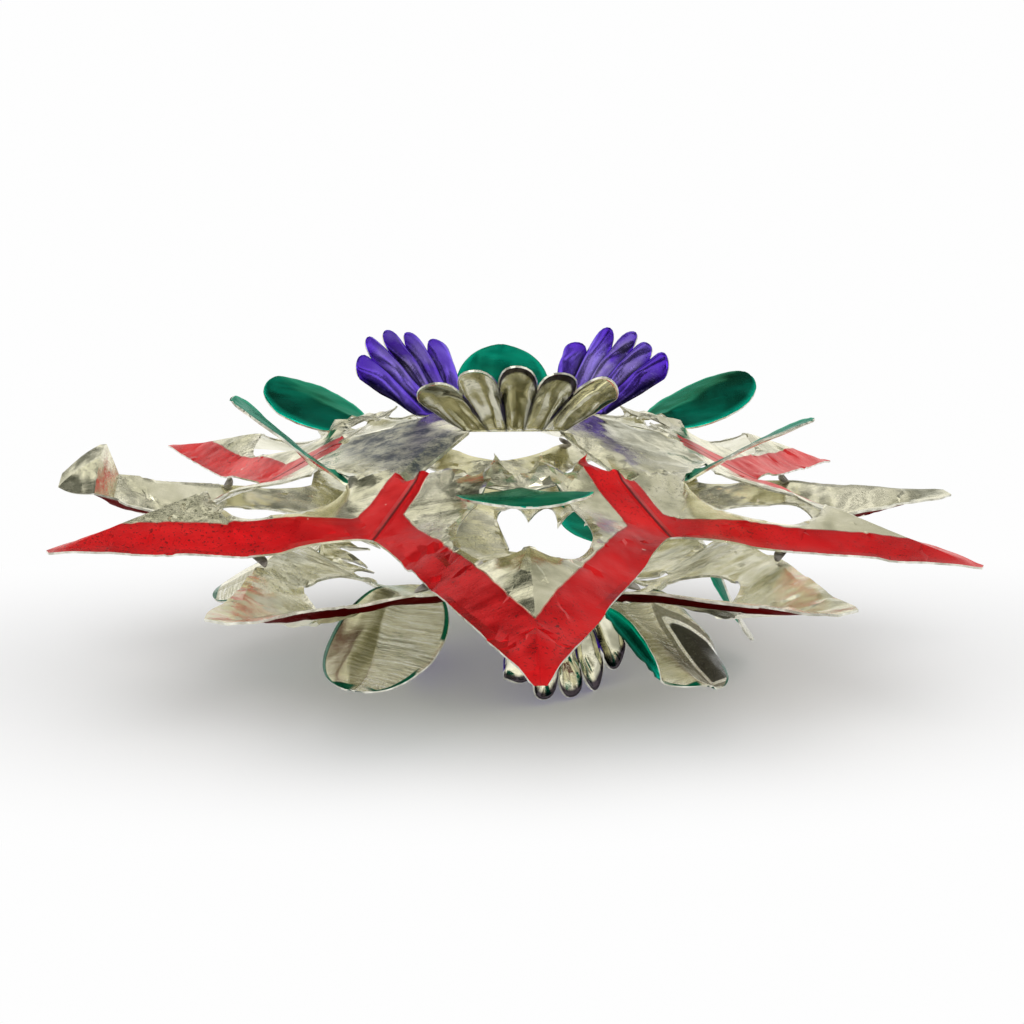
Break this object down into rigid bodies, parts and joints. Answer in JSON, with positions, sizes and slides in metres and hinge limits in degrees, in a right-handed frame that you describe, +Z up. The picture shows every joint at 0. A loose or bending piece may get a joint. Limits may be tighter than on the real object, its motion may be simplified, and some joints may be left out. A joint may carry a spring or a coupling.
{
  "type": "tin star ornament",
  "caption": "Cut and folded tinplate stars set back to back, with oval leaves and fluted petal fans bent out of their sheets, as a standing or wall ornament.",
  "frame": {"origin": "on the ornament's axis, in the plane of the table that it stands on", "axes": "+Z up along the ornament's axis, -Y towards the front point of the upper star, +X to its right"},
  "size_m": [0.14, 0.14, 0.0538],
  "materials": {
    "tinplate": "bare aged tinplate with translucent red lacquer bands along the points",
    "violet_lacquer": "translucent violet lacquer on the painted face, bare tin on the other",
    "green_lacquer": "translucent green lacquer on the painted face, bare tin on the other",
    "solder": "dull soft solder"
  },
  "bodies": {
    "root": {"upper_star": "tinplate", "lower_star": "tinplate", "upper_fan_front": "violet_lacquer", "upper_fan_back_right": "violet_lacquer", "upper_fan_back_left": "violet_lacquer", "lower_fan_front_right": "violet_lacquer", "lower_fan_back_right": "violet_lacquer", "lower_fan_left": "violet_lacquer", "upper_leaf_front": "green_lacquer", "upper_leaf_front_right": "green_lacquer", "upper_leaf_back_right": "green_lacquer", "upper_leaf_back": "green_lacquer", "upper_leaf_back_left": "green_lacquer", "upper_leaf_front_left": "green_lacquer", "lower_leaf_front_right": "green_lacquer", "lower_leaf_right": "green_lacquer", "lower_leaf_back_right": "green_lacquer", "lower_leaf_back_left": "green_lacquer", "lower_leaf_left": "green_lacquer", "lower_leaf_front_left": "green_lacquer", "solder_beads": "solder"}
  },
  "joints": []
}
